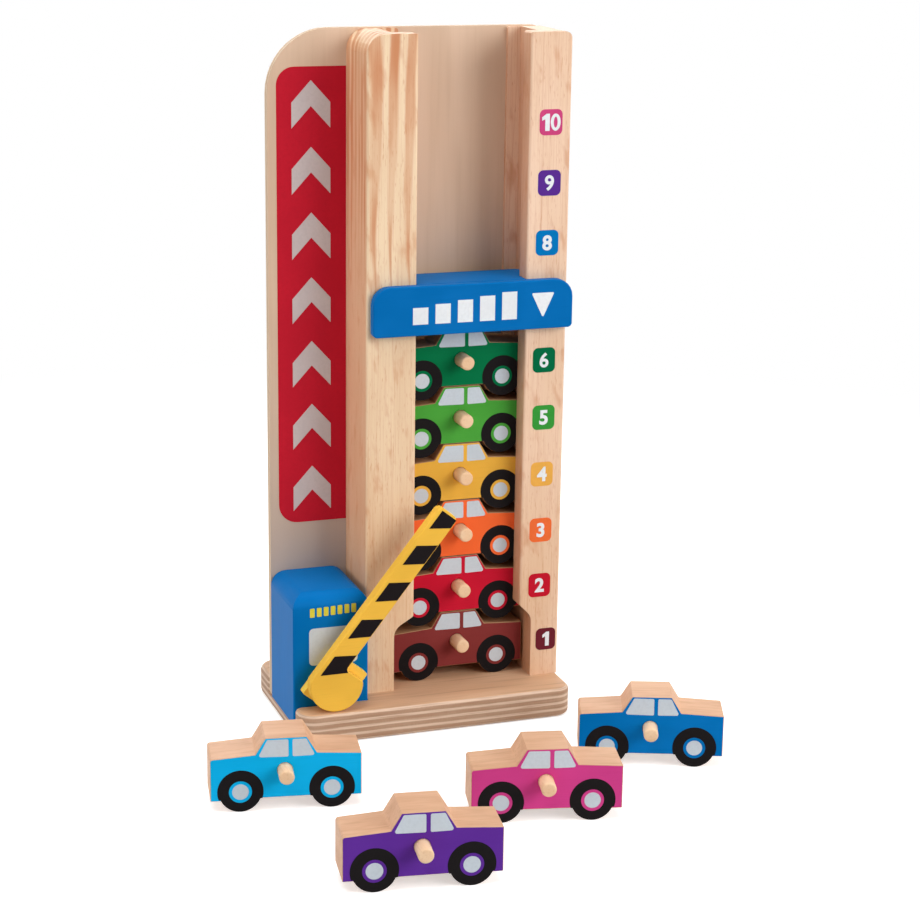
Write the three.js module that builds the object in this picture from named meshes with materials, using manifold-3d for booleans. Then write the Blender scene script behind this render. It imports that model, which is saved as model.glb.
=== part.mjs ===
// A wooden toy parking garage with lift. A plywood base carries a thin back panel, two grooved posts,
// a ticket booth with a swinging barrier, and a stack of cars that nest on each other's roofs between
// the posts. A level slider rides on the stack in the same grooves. Four more cars stand in front.
// Millimetres. X points right, Y back and Z up. The origin is the centre of the base's underside.

import * as THREE from 'three';
import { mergeVertices } from 'three/addons/utils/BufferGeometryUtils.js';
import Module from 'manifold-3d';

// Clearances
const seatGap = 0.3;
const slideGap = 0.5;
const pegGap = 0.15;

// Base
const baseDepth = 97.8;
const baseThickness = 17.6;
const baseCornerRadius = 10;
const baseEdgeRadius = 3;
const pocketFloorHeight = 7;
const pocketMouthRadius = 4;
const frontApron = 16;
const rightLedge = 0.5;

// Back panel
const towerHeight = 389.2;
const panelThickness = 4.8;
const panelLeftRadius = 35;
const panelRightRadius = 10;
const panelFootRadius = 2;

// Cars
const carLength = 78.9;
const carDepth = 24.5;
const carHeight = 40.2;
const carBellyHeight = 7.1;
const carSillHeight = 6.4;
const carWheelRadius = 11.3;
const carWheelInset = 15.6;
const carNestGap = 1.8;
const carStackGap = 0.3;
const carHoodGap = 2;
const carHoodDrop = 1.7;
const carTrunkDrop = 0.2;
const carTailDrop = 1.6;
const carWindscreenRun = 5.3;
const carRearWindowRun = 5.5;
const carNoseRadius = 1.5;
const pegRadius = 3.96;
const pegReach = 11.4;
const pegSeatDepth = 12;
const pegTipRadius = 1;
const pegAlongShare = 0.492;
const pegHeightShare = 0.555;
const stackCount = 6;

// How far each stacked car stands to the right of the lowest one
const stackSlides = [0, 0.5, 1.2, 0.8, 0.6, 0.7];

// Posts
const postWall = 17;
const leftLipReach = 11.9;
const rightLipReach = 7.4;
const frontLipDepth = 10.9;
const rearLipDepth = 2.5;
const channelPlayLeft = 2.8;
const channelPlayRight = 1.6;
const channelPlayDepth = 0.5;
const postDropBelowPanel = 0.6;
const leftPostTopRadius = 11;
const rightPostTopRadius = 4.5;
const postEdgeRadius = 1.5;
const exitHeadroom = 7.2;
const exitArcRadius = 8;
const exitLipRadius = 2;
const leftExitSlope = THREE.MathUtils.degToRad(31);
const rightExitSlope = THREE.MathUtils.degToRad(45);

// Ticket booth
const boothWidth = 43.6;
const boothDepth = 47.7;
const boothHeight = 76.4;
const boothSideGap = 1.2;
const boothRoofRadius = 8.5;
const boothEdgeRadius = 1.2;

// Barrier
const armReach = 114.8;
const armWidth = 13.3;
const armThickness = 7;
const armOffset = 1;
const armTipRadius = 3;
const discRadius = 15.3;
const discBaseGap = 0.5;
const discShoulderCut = 5.1;
const discShoulderRadius = 3;
const discFilletRadius = 2;
const blockThickness = 6.3;
const blockInnerInset = 1.1;
const blockOuterInset = 0.3;
const blockRise = 10.8;
const blockCornerRadius = 1;
const pivotAlongShare = 0.49;
const barrierRestAngle = THREE.MathUtils.degToRad(51.8);

// Level slider
const plateThickness = 6;
const plateHeight = 27.6;
const plateRise = 0.5;
const plateInset = 2.2;
const plateOverhang = 1.3;
const plateTopRadius = 10;
const plateBottomRadius = 2.5;
const carriageDepth = 18.2;
const carriageSideGap = 0.8;
const carriageRearRadius = 3.5;

// Screws
const screwShankRadius = 1.7;
const screwHeadRadius = 3.4;
const screwHeadHeight = 2.4;
const screwHeadRim = 0.5;
const screwPointLength = 4;
const screwSink = 0.6;
const postScrewLength = 36;
const boothScrewLength = 24;
const panelScrewLength = 22;
const carriageScrewLength = 26;
const barrierScrewLength = 22;
const screwAcrossShares = [0.27, 0.73];
const panelScrewHeightShares = [0.1, 0.5, 0.92];
const boothScrewDepthShares = [0.25, 0.75];
const carriageScrewAcrossShares = [0.2, 0.8];
const plateScrewBiteShare = 0.75;

// Cutting and faceting
const cutOverrun = 3;
const planeSlack = 0.001;
const arcStep = THREE.MathUtils.degToRad(18);
const arcTolerance = 0.1;
const wheelArcSteps = 10;
const roundSides = 16;
const discSides = 32;
const shoulderSteps = 8;
const baseEdgeSteps = 3;
const pegTipSteps = 3;

// Places worked out from the sizes: the base is as wide as what stands on it
const channelWidth = carLength + channelPlayLeft + channelPlayRight;
const towerWidth = channelWidth + 2 * postWall;
const baseWidth = boothWidth + boothSideGap + towerWidth + rightLedge;
const baseLeft = -baseWidth / 2;
const baseFront = -baseDepth / 2;
const boothFront = baseFront + frontApron;
const boothBack = boothFront + boothDepth;
const panelFront = boothBack + seatGap;
const panelBack = panelFront + panelThickness;
const postDepth = frontLipDepth + carDepth + channelPlayDepth + seatGap + rearLipDepth;
const postFront = panelFront - postDepth;
const lipBack = postFront + frontLipDepth;
const channelBack = panelFront - rearLipDepth;
const postTop = towerHeight - postDropBelowPanel;
const rightPostOuter = baseWidth / 2 - rightLedge;
const channelRight = rightPostOuter - postWall;
const channelLeft = channelRight - channelWidth;
const leftPostOuter = channelLeft - postWall;
const leftLip = channelLeft + leftLipReach;
const rightLip = channelRight - rightLipReach;
const boothRight = leftPostOuter - boothSideGap;
const boothTop = pocketFloorHeight + boothHeight;
const stackPitch = carHeight - carBellyHeight + carStackGap;
const stackLeft = channelLeft + channelPlayLeft;
const stackFront = lipBack + seatGap;
const carWaist = stackPitch - carHoodGap;
const exitKnee = baseThickness + carWaist - carHoodDrop + exitHeadroom;
const carriageBottom = baseThickness + (stackCount - 1) * stackPitch + carHeight + carStackGap;
const plateBottom = carriageBottom + plateRise;
const sliderTop = plateBottom + plateHeight;
const plateBack = postFront - seatGap;
const pivotX = baseLeft + (boothRight - baseLeft) * pivotAlongShare;
const pivotZ = baseThickness + discBaseGap + discRadius;

const wasm = await Module();
wasm.setup();

// Outline helpers: a corner is [x, y] or [x, y, radius].

function arcPoints(cx, cy, radius, from, to, steps) {
  const points = [];
  for (let i = 0; i <= steps; i++) {
    const angle = from + ((to - from) * i) / steps;
    points.push([cx + radius * Math.cos(angle), cy + radius * Math.sin(angle)]);
  }
  return points;
}

function roundCorner(before, corner, after) {
  const [x, y, radius] = corner;
  const at = new THREE.Vector2(x, y);
  const back = new THREE.Vector2(before[0], before[1]).sub(at).normalize();
  const on = new THREE.Vector2(after[0], after[1]).sub(at).normalize();
  const half = Math.acos(back.dot(on)) / 2;
  const centre = back.clone().add(on).normalize().multiplyScalar(radius / Math.sin(half)).add(at);
  const start = back.multiplyScalar(radius / Math.tan(half)).add(at).sub(centre);
  const end = on.multiplyScalar(radius / Math.tan(half)).add(at).sub(centre);
  const from = Math.atan2(start.y, start.x);
  let turn = Math.atan2(end.y, end.x) - from;
  if (turn > Math.PI) turn -= 2 * Math.PI;
  if (turn < -Math.PI) turn += 2 * Math.PI;
  const fineStep = 2 * Math.acos(1 - arcTolerance / radius);
  const steps = Math.ceil(Math.abs(turn) / Math.min(arcStep, fineStep));
  return arcPoints(centre.x, centre.y, radius, from, from + turn, steps);
}

function outline(corners) {
  const points = corners.flatMap((corner, i) => {
    if (!corner[2]) return [corner];
    const before = corners[(i + corners.length - 1) % corners.length];
    const after = corners[(i + 1) % corners.length];
    return roundCorner(before, corner, after);
  });
  return new THREE.Shape(points.map(([x, y]) => new THREE.Vector2(x, y)));
}

function circle(cx, cy, radius, sides = roundSides) {
  return outline(arcPoints(cx, cy, radius, 0, 2 * Math.PI, sides).slice(1));
}

// Prisms: an outline pushed along one axis, with both ends exactly on the named planes.

function prism(shape, from, to, place) {
  const geometry = new THREE.ExtrudeGeometry(shape, { depth: 1, bevelEnabled: false });
  const position = geometry.attributes.position;
  for (let i = 0; i < position.count; i++) {
    const along = position.getZ(i) === 0 ? from : to;
    position.setXYZ(i, ...place(position.getX(i), position.getY(i), along));
  }
  return geometry;
}

function prismX(shape, from, to) {
  return prism(shape, from, to, (y, z, x) => [x, y, z]);
}

function prismY(shape, from, to) {
  return prism(shape, to, from, (x, z, y) => [x, y, z]);
}

function prismZ(shape, from, to) {
  return prism(shape, from, to, (x, y, z) => [x, y, z]);
}

// Solids, for joining and cutting.

function solid(geometry) {
  const bare = geometry.clone();
  bare.deleteAttribute('normal');
  bare.deleteAttribute('uv');
  const merged = mergeVertices(bare);
  const index = merged.index.array;
  const faces = [];
  for (let i = 0; i < index.length; i += 3) {
    const [a, b, c] = index.slice(i, i + 3);
    if (a !== b && b !== c && c !== a) faces.push(a, b, c);
  }
  return new wasm.Manifold(
    new wasm.Mesh({
      numProp: 3,
      vertProperties: merged.attributes.position.array,
      triVerts: new Uint32Array(faces),
    }),
  );
}

function geometryOf(body) {
  const mesh = body.getMesh();
  const geometry = new THREE.BufferGeometry();
  geometry.setAttribute('position', new THREE.BufferAttribute(mesh.vertProperties, 3));
  geometry.setIndex(new THREE.BufferAttribute(mesh.triVerts, 1));
  return geometry;
}

function cut(body, tools) {
  return tools.reduce((left, tool) => left.subtract(solid(tool)), body);
}

// Screws: countersunk wood screws, and the holes that take them. The head's face is at the origin
// and the point lies along +Z; turned copies serve the other directions.

function screwGeometry(length, gap, headClear) {
  const shank = screwShankRadius + gap;
  const head = screwHeadRadius + gap;
  const profile = [
    [0, length + gap],
    [shank, length - screwPointLength + gap],
    [shank, screwHeadHeight],
    [head, screwHeadRim + gap],
    [head, -headClear],
    [0, -headClear],
  ];
  const geometry = new THREE.LatheGeometry(
    profile.map(([radius, along]) => new THREE.Vector2(radius, along)).reverse(),
    roundSides,
  );
  return geometry.rotateX(Math.PI / 2);
}

const upwards = new THREE.Matrix4();
const forwards = new THREE.Matrix4().makeRotationX(Math.PI / 2);
const backwards = new THREE.Matrix4().makeRotationX(-Math.PI / 2);

function placed(geometry, direction, x, y, z) {
  return geometry.applyMatrix4(direction).translate(x, y, z);
}

function screwSet(stem, length, direction, places, headClear = cutOverrun) {
  return places.map((place, i) => ({
    name: places.length > 1 ? `${stem}_${i + 1}` : stem,
    body: placed(screwGeometry(length, 0, 0), direction, ...place),
    hole: placed(screwGeometry(length, seatGap, headClear), direction, ...place),
  }));
}

const leftWallMiddle = leftPostOuter + postWall / 2;
const rightWallMiddle = rightPostOuter - postWall / 2;

function postScrewPlaces(x) {
  return screwAcrossShares.map((share) => [x, postFront + postDepth * share, screwSink]);
}

function panelScrewPlaces(x) {
  return panelScrewHeightShares.map((share) => [
    x,
    panelBack - screwSink,
    baseThickness + (postTop - baseThickness) * share,
  ]);
}

const leftPostScrews = screwSet(
  'left_post_screw',
  postScrewLength,
  upwards,
  postScrewPlaces(leftWallMiddle),
);
const rightPostScrews = screwSet(
  'right_post_screw',
  postScrewLength,
  upwards,
  postScrewPlaces(rightWallMiddle),
);
const boothScrews = screwSet(
  'booth_screw',
  boothScrewLength,
  upwards,
  boothScrewDepthShares.map((share) => [
    (baseLeft + boothRight) / 2,
    boothFront + boothDepth * share,
    screwSink,
  ]),
);
const leftPanelScrews = screwSet(
  'left_panel_screw',
  panelScrewLength,
  forwards,
  panelScrewPlaces(leftWallMiddle),
);
const rightPanelScrews = screwSet(
  'right_panel_screw',
  panelScrewLength,
  forwards,
  panelScrewPlaces(rightWallMiddle),
);

const carriageLeft = channelLeft + carriageSideGap;
const carriageRight = channelRight - carriageSideGap;
const carriageFront = lipBack + slideGap;
const carriageBack = carriageFront + carriageDepth;
const carriageScrewFace = plateBack + carriageScrewLength - plateThickness * plateScrewBiteShare;
const carriageScrews = screwSet(
  'slider_screw',
  carriageScrewLength,
  forwards,
  carriageScrewAcrossShares.map((share) => [
    leftLip + (rightLip - leftLip) * share,
    carriageScrewFace,
    (carriageBottom + sliderTop) / 2,
  ]),
  carriageDepth + cutOverrun,
);
const blockBack = boothFront - seatGap;
const blockFront = blockBack - blockThickness;
const barrierScrews = screwSet(
  'barrier_screw',
  barrierScrewLength,
  backwards,
  [[pivotX, blockFront + screwSink, pivotZ]],
  screwSink + cutOverrun,
);

// Base: a slab with rounded edges. A pocket open to the left takes the booth, and a groove from it
// across the slab takes the panel's foot.

function baseGeometry() {
  const plan = outline([
    [baseLeft, baseFront, baseCornerRadius],
    [-baseLeft, baseFront, baseCornerRadius],
    [-baseLeft, -baseFront, baseCornerRadius],
    [baseLeft, -baseFront, baseCornerRadius],
  ]);
  const slab = new THREE.ExtrudeGeometry(plan, {
    depth: baseThickness - 2 * baseEdgeRadius,
    bevelThickness: baseEdgeRadius,
    bevelSize: baseEdgeRadius,
    bevelOffset: -baseEdgeRadius,
    bevelSegments: baseEdgeSteps,
  }).translate(0, 0, baseEdgeRadius);
  const position = slab.attributes.position;
  for (let i = 0; i < position.count; i++) {
    if (Math.abs(position.getZ(i) - baseThickness) < planeSlack) position.setZ(i, baseThickness);
    if (Math.abs(position.getZ(i)) < planeSlack) position.setZ(i, 0);
  }
  const pocketFront = boothFront - seatGap;
  const pocketBack = panelBack + seatGap;
  const pocketRight = boothRight + seatGap;
  const outside = baseLeft - cutOverrun;
  const pocket = outline([
    [outside, pocketFront - pocketMouthRadius],
    ...arcPoints(
      baseLeft + pocketMouthRadius,
      pocketFront - pocketMouthRadius,
      pocketMouthRadius,
      Math.PI,
      Math.PI / 2,
      baseEdgeSteps,
    ),
    [pocketRight, pocketFront],
    [pocketRight, panelFront - seatGap],
    [rightPostOuter + seatGap, panelFront - seatGap],
    [rightPostOuter + seatGap, pocketBack],
    ...arcPoints(
      baseLeft + pocketMouthRadius,
      pocketBack + pocketMouthRadius,
      pocketMouthRadius,
      -Math.PI / 2,
      -Math.PI,
      baseEdgeSteps,
    ),
    [outside, pocketBack + pocketMouthRadius],
  ]);
  return geometryOf(
    cut(solid(slab), [
      prismZ(pocket, pocketFloorHeight, baseThickness + cutOverrun),
      ...[...leftPostScrews, ...rightPostScrews, ...boothScrews].map((screw) => screw.hole),
    ]),
  );
}

function panelGeometry() {
  const front = outline([
    [baseLeft, pocketFloorHeight, panelFootRadius],
    [rightPostOuter, pocketFloorHeight, panelFootRadius],
    [rightPostOuter, towerHeight, panelRightRadius],
    [baseLeft, towerHeight, panelLeftRadius],
  ]);
  return geometryOf(
    cut(
      solid(prismY(front, panelFront, panelBack)),
      [...leftPanelScrews, ...rightPanelScrews].map((screw) => screw.hole),
    ),
  );
}

// Posts: a channel section, with its front lip sawn away at the foot in a smooth shoulder so that
// the lowest car rolls out. `side` is 1 where the groove opens to the right and -1 to the left.

function postGeometry(outer, lip, channel, slope, topRadius, side, screws) {
  const lipFoot = exitKnee + Math.abs(lip - channel) * Math.tan(slope);
  const frontCorners = [
    [outer, baseThickness],
    [channel, baseThickness],
    [channel, exitKnee, exitArcRadius],
    [lip, lipFoot, exitLipRadius],
    [lip, postTop, postEdgeRadius],
    [outer, postTop, topRadius],
  ];
  const planCorners = [
    [outer, postFront, postEdgeRadius],
    [lip, postFront, postEdgeRadius],
    [lip, lipBack],
    [channel, lipBack],
    [channel, channelBack],
    [lip, channelBack],
    [lip, panelFront],
    [outer, panelFront],
  ];
  if (side < 0) {
    frontCorners.reverse();
    planCorners.reverse();
  }
  const front = solid(prismY(outline(frontCorners), postFront - cutOverrun, panelFront + cutOverrun));
  const plan = solid(prismZ(outline(planCorners), baseThickness, postTop + cutOverrun));
  return geometryOf(cut(plan.intersect(front), screws.map((screw) => screw.hole)));
}

// Booth: a block whose roof is rounded over on its left, front and right.

function boothGeometry() {
  const front = outline([
    [baseLeft, pocketFloorHeight],
    [boothRight, pocketFloorHeight],
    [boothRight, boothTop, boothRoofRadius],
    [baseLeft, boothTop, boothRoofRadius],
  ]);
  const side = outline([
    [boothFront, pocketFloorHeight],
    [boothBack, pocketFloorHeight],
    [boothBack, boothTop],
    [boothFront, boothTop, boothRoofRadius],
  ]);
  const plan = outline([
    [baseLeft, boothFront, boothEdgeRadius],
    [boothRight, boothFront, boothEdgeRadius],
    [boothRight, boothBack],
    [baseLeft, boothBack],
  ]);
  const block = solid(prismY(front, boothFront, boothBack))
    .intersect(solid(prismX(side, baseLeft, boothRight)))
    .intersect(solid(prismZ(plan, pocketFloorHeight, boothTop)));
  return geometryOf(cut(block, [...boothScrews, ...barrierScrews].map((screw) => screw.hole)));
}

// Barrier: drawn level with the pivot at the origin, X along the arm. The arm and its end disc are
// one board: the disc is flush with the arm's upper edge and ends in a straight shoulder below the arm.
// The block behind it turns on the pivot screw, and its lower corner follows the disc.

function armGeometry() {
  const armTop = armOffset + armWidth;
  const shoulder = discRadius - discShoulderCut;
  const roundX = shoulder - discShoulderRadius;
  const roundZ = -Math.sqrt((discRadius - discShoulderRadius) ** 2 - roundX ** 2);
  const discEnd = Math.atan2(roundZ, roundX);
  const discStart = Math.PI - Math.asin(Math.min(1, armTop / discRadius));
  const front = outline([
    [shoulder, armOffset, discFilletRadius],
    [armReach, armOffset, armTipRadius],
    [armReach, armTop, armTipRadius],
    [discRadius * Math.cos(discStart), armTop],
    ...arcPoints(0, 0, discRadius, discStart, 2 * Math.PI + discEnd, discSides).slice(1),
    ...arcPoints(roundX, roundZ, discShoulderRadius, discEnd, 0, shoulderSteps).slice(1),
  ]);
  return geometryOf(solid(prismY(front, -armThickness, 0)));
}

function blockGeometry() {
  const outer = discRadius - blockOuterInset;
  const inner = discRadius - blockInnerInset;
  const cornerStart = Math.PI + Math.acos(outer / discRadius);
  const cornerEnd = 1.5 * Math.PI - Math.acos(inner / discRadius);
  const front = outline([
    ...arcPoints(0, 0, discRadius, cornerStart, cornerEnd, baseEdgeSteps),
    [inner, -inner, blockCornerRadius],
    [inner, blockRise, blockCornerRadius],
    [-outer, blockRise, blockCornerRadius],
  ]);
  const bore = circle(0, 0, screwShankRadius + seatGap);
  const recess = placed(
    screwGeometry(barrierScrewLength, seatGap, screwSink + cutOverrun),
    backwards,
    0,
    screwSink,
    0,
  );
  return geometryOf(
    cut(solid(prismY(front, 0, blockThickness)), [
      prismY(bore, -cutOverrun, blockThickness + cutOverrun),
      recess,
    ]),
  );
}

// Level slider: the wide part of the carriage runs in both grooves, its neck passes between the
// lips, and the plate in front hides the neck.

function plateGeometry() {
  const left = leftPostOuter + plateInset;
  const right = rightPostOuter + plateOverhang;
  const front = outline([
    [left, plateBottom, plateBottomRadius],
    [right, plateBottom, plateBottomRadius],
    [right, sliderTop, plateTopRadius],
    [left, sliderTop, plateTopRadius],
  ]);
  return geometryOf(
    cut(
      solid(prismY(front, plateBack - plateThickness, plateBack)),
      carriageScrews.map((screw) => screw.hole),
    ),
  );
}

function carriageGeometry() {
  const plan = outline([
    [leftLip + slideGap, plateBack],
    [rightLip - slideGap, plateBack],
    [rightLip - slideGap, carriageFront],
    [carriageRight, carriageFront],
    [carriageRight, carriageBack, carriageRearRadius],
    [carriageLeft, carriageBack, carriageRearRadius],
    [carriageLeft, carriageFront],
    [leftLip + slideGap, carriageFront],
  ]);
  return geometryOf(
    cut(
      solid(prismZ(plan, carriageBottom, sliderTop)),
      carriageScrews.map((screw) => screw.hole),
    ),
  );
}

// Cars: one board profile each. The roof stands between the wheels of the car above, whose belly
// rests on it. A dowel peg in the front face is the handle. Drawn with the front face at Y = 0.

const pegX = carLength * pegAlongShare;
const pegZ = carHeight * pegHeightShare;

function wheelArc(x, leftHeight, rightHeight) {
  const down = -Math.PI / 2;
  const left = down - Math.acos((carWheelRadius - leftHeight) / carWheelRadius);
  const right = down + Math.acos((carWheelRadius - rightHeight) / carWheelRadius);
  return arcPoints(x, carWheelRadius, carWheelRadius, left, right, wheelArcSteps);
}

function carGeometry() {
  const frontWheel = carWheelInset;
  const rearWheel = carLength - carWheelInset;
  const roofStart = frontWheel + carWheelRadius + carNestGap;
  const roofEnd = rearWheel - carWheelRadius - carNestGap;
  const side = outline([
    [0, carSillHeight],
    ...wheelArc(frontWheel, carSillHeight, carBellyHeight),
    ...wheelArc(rearWheel, carBellyHeight, carSillHeight),
    [carLength, carSillHeight],
    [carLength, carWaist - carTailDrop],
    [roofEnd + carRearWindowRun, carWaist - carTrunkDrop],
    [roofEnd, carHeight],
    [roofStart, carHeight],
    [roofStart - carWindscreenRun, carWaist],
    [0, carWaist - carHoodDrop, carNoseRadius],
  ]);
  const bore = circle(pegX, pegZ, pegRadius + pegGap);
  const boreDepth = pegSeatDepth + seatGap;
  return geometryOf(
    cut(solid(prismY(side, 0, carDepth)), [prismY(bore, -cutOverrun, boreDepth)]),
  );
}

function pegGeometry() {
  const tipAcross = pegRadius - pegTipRadius;
  const tipAlong = pegReach - pegTipRadius;
  const profile = [
    [0, pegReach],
    ...arcPoints(tipAcross, tipAlong, pegTipRadius, Math.PI / 2, 0, pegTipSteps),
    [pegRadius, -pegSeatDepth],
    [0, -pegSeatDepth],
  ];
  return new THREE.LatheGeometry(
    profile.map(([radius, along]) => new THREE.Vector2(radius, along)).reverse(),
    roundSides,
  )
    .rotateX(Math.PI)
    .translate(pegX, 0, pegZ);
}

// The object, piece by piece.

const pine = 0xe3bd8c;
const plywood = 0xd9b48a;
const panelWood = 0xb9a795;
const boothBlue = 0x0067ad;
const plateBlue = 0x0070be;
const barrierYellow = 0xf3bd42;
const steel = 0xb8b8b4;
const pegWood = 0xf0cba0;
const carColours = [
  0x7a2b30, 0xc41832, 0xf56a35, 0xefb63f, 0x4aa03c, 0x00804c, 0x00adeb, 0x0070b8, 0x5f2e96, 0xce4088,
];

function piece(name, geometry, color, roughness = 0.6, metalness = 0) {
  const mesh = new THREE.Mesh(geometry, new THREE.MeshStandardMaterial({ color, roughness, metalness }));
  mesh.name = name;
  return mesh;
}

function screwPieces(screws) {
  return screws.map((screw) => piece(screw.name, screw.body, steel, 0.35, 1));
}

function tower() {
  const group = new THREE.Group();
  group.add(
    piece('base_plate', baseGeometry(), plywood),
    piece('back_panel', panelGeometry(), panelWood),
    piece(
      'left_post',
      postGeometry(leftPostOuter, leftLip, channelLeft, leftExitSlope, leftPostTopRadius, 1, [
        ...leftPostScrews,
        ...leftPanelScrews,
      ]),
      pine,
    ),
    piece(
      'right_post',
      postGeometry(rightPostOuter, rightLip, channelRight, rightExitSlope, rightPostTopRadius, -1, [
        ...rightPostScrews,
        ...rightPanelScrews,
      ]),
      pine,
    ),
    piece('ticket_booth', boothGeometry(), boothBlue, 0.45),
    ...screwPieces([
      ...leftPostScrews,
      ...rightPostScrews,
      ...boothScrews,
      ...leftPanelScrews,
      ...rightPanelScrews,
      ...barrierScrews,
    ]),
  );
  return group;
}

function barrier() {
  const group = new THREE.Group();
  group.position.set(pivotX, blockFront, pivotZ);
  group.rotation.y = -barrierRestAngle;
  group.add(
    piece('barrier_arm', armGeometry(), barrierYellow, 0.45),
    piece('barrier_block', blockGeometry(), barrierYellow, 0.45),
  );
  return group;
}

function levelSlider() {
  const group = new THREE.Group();
  group.add(
    piece('level_plate', plateGeometry(), plateBlue, 0.45),
    piece('level_carriage', carriageGeometry(), plateBlue, 0.45),
    ...screwPieces(carriageScrews),
  );
  return group;
}

const carBody = carGeometry();
const carPeg = pegGeometry();

function car(number, x, y, z, turn) {
  const stem = `car_${String(number).padStart(2, '0')}`;
  const group = new THREE.Group();
  group.position.set(x, y, z);
  group.rotation.z = turn;
  group.add(
    piece(`${stem}_body`, carBody, carColours[number - 1], 0.5),
    piece(`${stem}_peg`, carPeg, pegWood),
  );
  return group;
}

// Places of the loose cars' front left corners, as shares of a car's length, and their turn in degrees.
const looseCarShares = [
  { number: 7, x: -1.896, y: -1.518, turn: -9.7 },
  { number: 8, x: 0.721, y: -1.475, turn: -20.8 },
  { number: 9, x: -1.411, y: -2.924, turn: -8.4 },
  { number: 10, x: -0.324, y: -2.19, turn: -12.9 },
];

const garage = new THREE.Group();
garage.add(tower(), barrier(), levelSlider());
for (let i = 0; i < stackCount; i++) {
  garage.add(car(i + 1, stackLeft + stackSlides[i], stackFront, baseThickness + i * stackPitch, 0));
}
for (const { number, x, y, turn } of looseCarShares) {
  garage.add(car(number, carLength * x, carLength * y, 0, THREE.MathUtils.degToRad(turn)));
}

export default garage;
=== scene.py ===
# A wooden toy parking garage with lift: the camera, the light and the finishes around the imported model.
# Sizes are in millimetres, and MM turns them into Blender's metres.

import math

import bmesh
import bpy
from mathutils import Matrix, Vector


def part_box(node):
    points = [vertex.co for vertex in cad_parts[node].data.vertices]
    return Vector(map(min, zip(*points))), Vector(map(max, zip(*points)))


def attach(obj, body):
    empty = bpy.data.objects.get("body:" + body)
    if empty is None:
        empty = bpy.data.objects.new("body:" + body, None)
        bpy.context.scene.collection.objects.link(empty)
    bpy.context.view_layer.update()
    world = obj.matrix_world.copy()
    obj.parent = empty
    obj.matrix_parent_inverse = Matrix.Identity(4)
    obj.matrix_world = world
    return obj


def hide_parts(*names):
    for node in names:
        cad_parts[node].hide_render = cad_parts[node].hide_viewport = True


MM = 0.001

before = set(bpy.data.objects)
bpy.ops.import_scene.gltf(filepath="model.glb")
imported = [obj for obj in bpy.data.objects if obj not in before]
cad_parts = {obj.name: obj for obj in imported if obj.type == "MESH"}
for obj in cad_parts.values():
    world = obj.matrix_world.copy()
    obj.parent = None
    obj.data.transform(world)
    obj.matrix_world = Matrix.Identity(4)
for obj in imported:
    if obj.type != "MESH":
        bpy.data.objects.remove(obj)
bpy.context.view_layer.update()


# Camera, where the photograph was taken from

CAMERA_PLACE = (-395.14, -1193.12, 490.69)
CAMERA_TURN = 0.34018
CAMERA_DIP = 0.26682
CAMERA_ROLL = 0.01393
LENS = 89.48
SENSOR_WIDTH = 36
CLIP_NEAR = 10
CLIP_FAR = 20000


def place_camera():
    flat = math.cos(CAMERA_DIP)
    ahead = Vector((math.sin(CAMERA_TURN) * flat, math.cos(CAMERA_TURN) * flat, -math.sin(CAMERA_DIP)))
    level = ahead.cross(Vector((0, 0, 1))).normalized()
    upright = level.cross(ahead)
    right = level * math.cos(CAMERA_ROLL) + upright * math.sin(CAMERA_ROLL)
    up = upright * math.cos(CAMERA_ROLL) - level * math.sin(CAMERA_ROLL)
    lens = bpy.data.cameras.new("camera")
    lens.lens = LENS
    lens.sensor_width = SENSOR_WIDTH
    lens.clip_start = CLIP_NEAR * MM
    lens.clip_end = CLIP_FAR * MM
    camera = bpy.data.objects.new("camera", lens)
    looking = Matrix((right, up, -ahead)).transposed().to_4x4()
    camera.matrix_world = Matrix.Translation(Vector(CAMERA_PLACE) * MM) @ looking
    bpy.context.scene.collection.objects.link(camera)
    bpy.context.scene.camera = camera


place_camera()


# Node trees: sums on readings, and one way to add every other node


class Reading:
    """A number that varies over a piece. Sums on it add Math nodes to its tree."""

    def __init__(self, tree, socket):
        self.tree = tree
        self.socket = socket

    def __add__(self, other):
        return self.tree.math("ADD", self, other)

    def __radd__(self, other):
        return self.tree.math("ADD", other, self)

    def __sub__(self, other):
        return self.tree.math("SUBTRACT", self, other)

    def __rsub__(self, other):
        return self.tree.math("SUBTRACT", other, self)

    def __mul__(self, other):
        return self.tree.math("MULTIPLY", self, other)

    def __rmul__(self, other):
        return self.tree.math("MULTIPLY", other, self)

    def __truediv__(self, other):
        return self.tree.math("DIVIDE", self, other)

    def __pow__(self, other):
        return self.tree.math("POWER", self, other)


class NodeTree:
    """A node tree that is filled from Python."""

    def __init__(self, tree):
        self.tree = tree

    def node(self, kind, settings=None, sockets=None):
        node = self.tree.nodes.new(kind)
        for name, value in (settings or {}).items():
            setattr(node, name, value)
        for name, value in (sockets or {}).items():
            for item in value if isinstance(value, list) else [value]:
                self.feed(node.inputs[name], item)
        return node

    def feed(self, socket, value):
        value = value.socket if isinstance(value, Reading) else value
        if isinstance(value, bpy.types.NodeSocket):
            self.tree.links.new(value, socket)
        else:
            socket.default_value = value

    def math(self, operation, *values):
        node = self.node("ShaderNodeMath", {"operation": operation}, dict(enumerate(values)))
        return Reading(self, node.outputs[0])

    def length(self, vector):
        node = self.node("ShaderNodeVectorMath", {"operation": "LENGTH"}, {0: vector})
        return Reading(self, node.outputs["Value"])

    def together(self, x, y, z):
        return self.node("ShaderNodeCombineXYZ", {}, {"X": x, "Y": y, "Z": z}).outputs[0]

    def rise(self, value, low, high):
        """0 below `low` and 1 above `high`, with a smooth rise between."""
        settings = {"interpolation_type": "SMOOTHSTEP"}
        sockets = {"Value": value, "From Min": low, "From Max": high}
        return Reading(self, self.node("ShaderNodeMapRange", settings, sockets).outputs[0])

    def apart(self, vector):
        node = self.node("ShaderNodeSeparateXYZ", {}, {0: vector})
        return [Reading(self, socket) for socket in node.outputs]


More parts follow.
